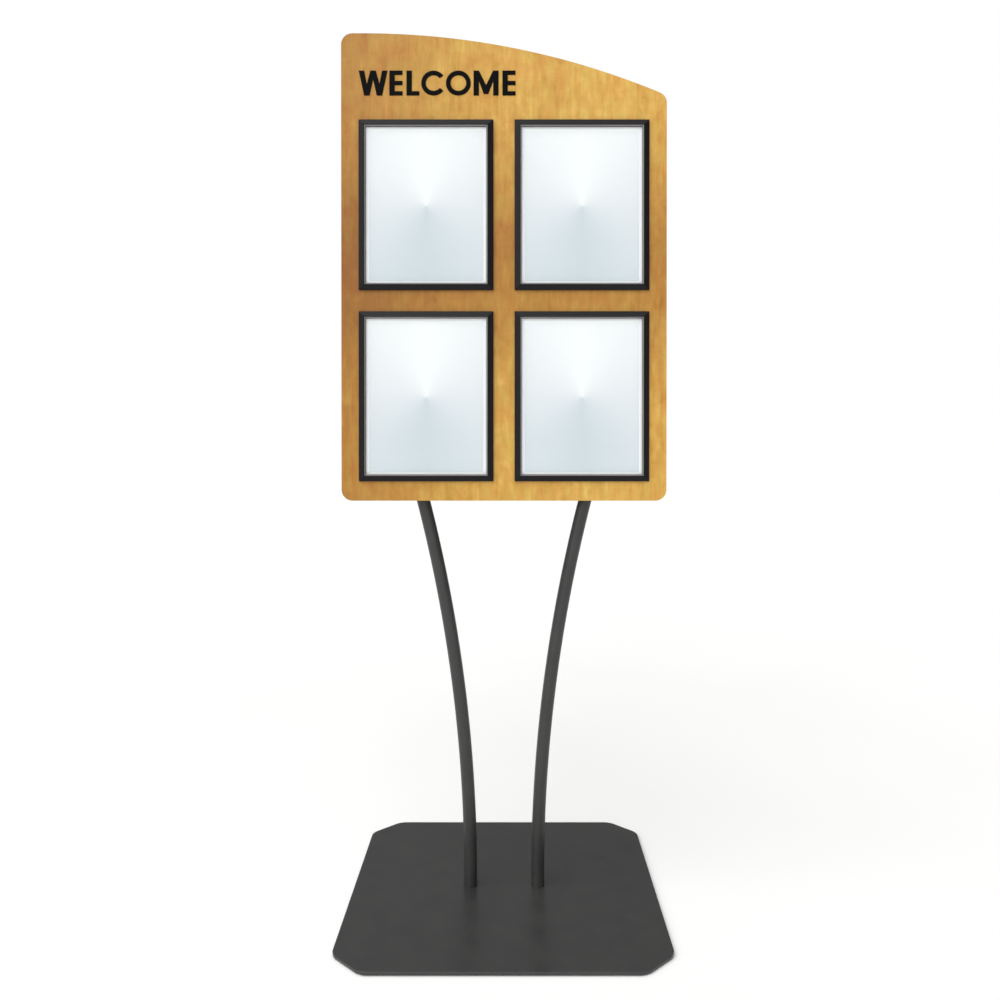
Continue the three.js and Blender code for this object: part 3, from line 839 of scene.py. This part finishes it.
def add_rail(node, quarter, centre, length, across):
    """One mitred rail, turned by `quarter` quarter turns from the bottom of its frame."""
    bm = bmesh.new()
    trace(bm, [(u * MM, v * MM) for u, v in RAIL_SECTION])
    fill(bm, bm.edges[:])
    thicken(bm, length)
    for end, way in ((MITRE_GAP, -1), (length - MITRE_GAP, 1)):
        geom = bm.verts[:] + bm.edges[:] + bm.faces[:]
        bmesh.ops.bisect_plane(
            bm, geom=geom, dist=WELD, plane_co=(0, 0, end), plane_no=(1, 0, way), clear_outer=True)
        bmesh.ops.holes_fill(bm, edges=[e for e in bm.edges if e.is_boundary], sides=0)
    bmesh.ops.recalc_face_normals(bm, faces=bm.faces)
    # Faces of the inner bevel past BEVEL_START take the second, pale grey material: a painted
    # highlight.
    for face in bm.faces:
        face.material_index = int(face.normal.x > 0.4 and face.calc_center_median().x > BEVEL_START)
    soften(bm, RAIL_EDGE, angle=20)
    # Lays the rail along X, with its section's inner side up and its face to the front.
    lay = Matrix(((0, 0, 1, -length / 2), (0, -1, 0, 0), (1, 0, 0, -across / 2), (0, 0, 0, 1)))
    turn = Matrix.Rotation(quarter * QUARTER_TURN, 4, "Y")
    place = Matrix.Translation((centre.x, panel_front, centre.z)) @ turn @ lay
    bmesh.ops.transform(bm, matrix=place, verts=bm.verts)
    upright = quarter % 2 == 1
    paint = [RAIL_UPRIGHT, BEVEL_HIGHLIGHT_UPRIGHT] if upright else [RAIL_ACROSS, BEVEL_HIGHLIGHT_ACROSS]
    finish_piece(node, bm, paint)


def add_pane(node, radius, edge, materials):
    """A thin upright sheet with rounded corners, in its CAD node's place."""
    low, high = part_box(node)
    bm = bmesh.new()
    fill(bm, trace(bm, rounded_rectangle((low.x, low.z), (high.x, high.z), radius)))
    thicken(bm, high.y - low.y)
    soften(bm, edge, angle=60)
    bmesh.ops.transform(bm, matrix=Matrix.Translation((0, high.y, 0)) @ STAND_UP, verts=bm.verts)
    finish_piece(node, bm, materials)


def add_frame(name):
    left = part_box(name + "_rail_left")[0].x
    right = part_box(name + "_rail_right")[1].x
    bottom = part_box(name + "_rail_bottom")[0].z
    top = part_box(name + "_rail_top")[1].z
    width, height = right - left, top - bottom
    centre = Vector(((left + right) / 2, 0, (bottom + top) / 2))
    for quarter, side in enumerate(RAIL_SIDES):
        along, across = (width, height) if quarter % 2 == 0 else (height, width)
        add_rail(f"{name}_rail_{side}", quarter, centre, along, across)
    add_pane(name + "_lens", LENS_CORNER, LENS_EDGE, [ACRYLIC])
    low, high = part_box(name + "_insert")
    card = printed_card("printed_card_" + name, centre, (high.x - low.x) / 2, (high.z - low.z) / 2)
    add_pane(name + "_insert", SHEET_CORNER, SHEET_EDGE, [card])
    refined(name + "_tray", TRAY_EDGE, [TRAY_PLASTIC])


# ---- Letters ----


def letter_w(w, h):
    foot, half, middle = 0.28 * w, LETTER_STEM / 2, w / 2
    crotch, valley = 0.64 * h, 0.46 * h
    return [
        (0, h), (foot - half, 0), (foot + half, 0), (middle, crotch),
        (w - foot - half, 0), (w - foot + half, 0), (w, h), (w - LETTER_STEM, h),
        (w - foot, valley), (middle + half, h), (middle - half, h), (foot, valley),
        (LETTER_STEM, h),
    ]


def letter_e(w, h):
    stem, bar = LETTER_STEM, LETTER_BAR
    low, high = (h - bar) / 2, (h + bar) / 2
    return [
        (0, 0), (w, 0), (w, bar), (stem, bar), (stem, low), (w, low),
        (w, high), (stem, high), (stem, h - bar), (w, h - bar), (w, h), (0, h),
    ]


def letter_l(w, h):
    return [(0, 0), (w, 0), (w, LETTER_BAR), (LETTER_STEM, LETTER_BAR), (LETTER_STEM, h), (0, h)]


def letter_m(w, h):
    stem, middle, tip = LETTER_STEM, w / 2, 0.42 * LETTER_STEM
    shoulder, valley, low = 0.58 * h, 0.42 * h, 0.06 * h
    return [
        (0, 0), (stem, 0), (stem, shoulder), (middle - tip, low), (middle + tip, low),
        (w - stem, shoulder), (w - stem, 0), (w, 0), (w, h), (w - stem, h),
        (middle, valley), (stem, h), (0, h),
    ]


def letter_c(w, h):
    mouth, centre, radius = math.radians(38), (h / 2, h / 2), h / 2
    return [
        (centre, radius, mouth, FULL_TURN - mouth, 72),
        (centre, radius - ROUND_BAR, FULL_TURN - mouth, mouth, 72),
    ]


LETTER_OUTLINES = {"W": letter_w, "E": letter_e, "L": letter_l, "M": letter_m, "C": letter_c}


def add_letter(node):
    low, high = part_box(node)
    width, height = high.x - low.x, high.z - low.z
    bm = bmesh.new()
    if node.endswith("O"):
        place = Matrix.Translation((width / 2, height / 2, 0))
        for radius in (height / 2, height / 2 - ROUND_BAR):
            bmesh.ops.create_circle(bm, cap_ends=False, radius=radius, segments=96, matrix=place)
        bmesh.ops.bridge_loops(bm, edges=bm.edges[:])
    else:
        trace(bm, LETTER_OUTLINES[node[-1]](width, height))
        fill(bm, bm.edges[:])
    thicken(bm, high.y - low.y)
    soften(bm, LETTER_EDGE, angle=60)
    place = Matrix.Translation((low.x, high.y, low.z)) @ STAND_UP
    bmesh.ops.transform(bm, matrix=place, verts=bm.verts)
    finish_piece(node, bm, [LETTER_BLACK])


# ---- Stage and light ----


def add_floor():
    # Matt white studio paint, rolled: pale, with a barely visible tone change.
    material, tree = new_material("rolled_studio_paint")
    patch = add_node(tree, "TexNoise", inputs={
        "Vector": scaled(tree, 800 * MM, 800 * MM), "Scale": 1, "Detail": 2})
    colour = add_node(tree, "ValToRGB", inputs={"Fac": patch.outputs[0]}, stops=[
        (0.3, "f4f4f3"), (0.7, "f6f6f5")])
    shader = add_node(tree, "BsdfDiffuse", inputs={"Color": colour.outputs[0]})
    finish_material(tree, shader.outputs[0])
    bm = bmesh.new()
    bmesh.ops.create_circle(bm, cap_ends=True, radius=FLOOR_RADIUS, segments=96)
    mesh = bpy.data.meshes.new("studio_floor")
    bm.to_mesh(mesh)
    bm.free()
    mesh.materials.append(material)
    floor = bpy.data.objects.new("studio_floor", mesh)
    bpy.context.scene.collection.objects.link(floor)


def add_sun(name, direction, strength, spread):
    """A broad, even light that shines along `direction`, `spread` degrees across."""
    data = bpy.data.lights.new(name, "SUN")
    data.energy = strength
    data.angle = math.radians(spread)
    lamp = bpy.data.objects.new(name, data)
    lamp.rotation_euler = Vector(direction).to_track_quat("-Z", "Y").to_euler()
    bpy.context.scene.collection.objects.link(lamp)


def add_surroundings():
    """White to the eye. As light it grows from the horizon to overhead, and from right to left."""
    at_horizon, overhead, side_fall = 0.10, 1.10, 0.7
    world = bpy.data.worlds.new("white_studio")
    world.use_nodes = True
    tree = world.node_tree
    tree.nodes.clear()
    way = add_node(tree, "TexCoord").outputs["Generated"]
    parts = add_node(tree, "SeparateXYZ", inputs={"Vector": way}).outputs
    steep = add_node(tree, "Math", {"operation": "MULTIPLY"}, {0: parts["Z"], 1: parts["Z"]})
    bright = add_node(tree, "MapRange", inputs={
        "Value": steep.outputs[0], "To Min": at_horizon, "To Max": overhead})
    side = add_node(tree, "Math", {"operation": "MULTIPLY_ADD"}, {
        0: parts["X"], 1: -side_fall, 2: 1})
    glow = add_node(tree, "Math", {"operation": "MULTIPLY"}, {
        0: bright.outputs[0], 1: side.outputs[0]})
    seen = add_node(tree, "LightPath").outputs["Is Camera Ray"]
    strength = add_node(tree, "Mix", inputs={0: seen, 2: glow.outputs[0], 3: 1.0})
    shine = add_node(tree, "Background", inputs={
        "Color": linear("ffffff"), "Strength": strength.outputs[0]})
    add_node(tree, "OutputWorld", inputs={"Surface": shine.outputs[0]})
    bpy.context.scene.world = world


def light_scene():
    add_surroundings()
    add_sun("key_light", direction=(0.62, 0.68, -0.85), strength=0.65 * math.pi, spread=70)
    add_sun("front_fill", direction=(0, 1, -0.2), strength=0.3 * math.pi, spread=80)
    bpy.context.scene.view_settings.view_transform = "Standard"


# ---- Building ----

add_camera()

add_base_plate()
add_pads()
for name, side in (("left", -1), ("right", 1)):
    add_pole(name, side)
    add_foot_plug("foot_plug_" + name)
    add_foot_bolt("foot_bolt_" + name)
    add_pole_cap(name, side)

for bar in ("lower", "upper"):
    refined("mounting_bar_" + bar, BAR_EDGE, [STEEL])
    for end in ("left", "right"):
        add_panel_bolt(f"panel_bolt_{bar}_{end}")

add_front_skin()
add_edge_band()
add_back_skin()
repaint("panel_core", BOARD)

for name in FRAME_NAMES:
    add_frame(name)
for node in sorted(name for name in nodes if name.startswith("letter_")):
    add_letter(node)

add_floor()
light_scene()
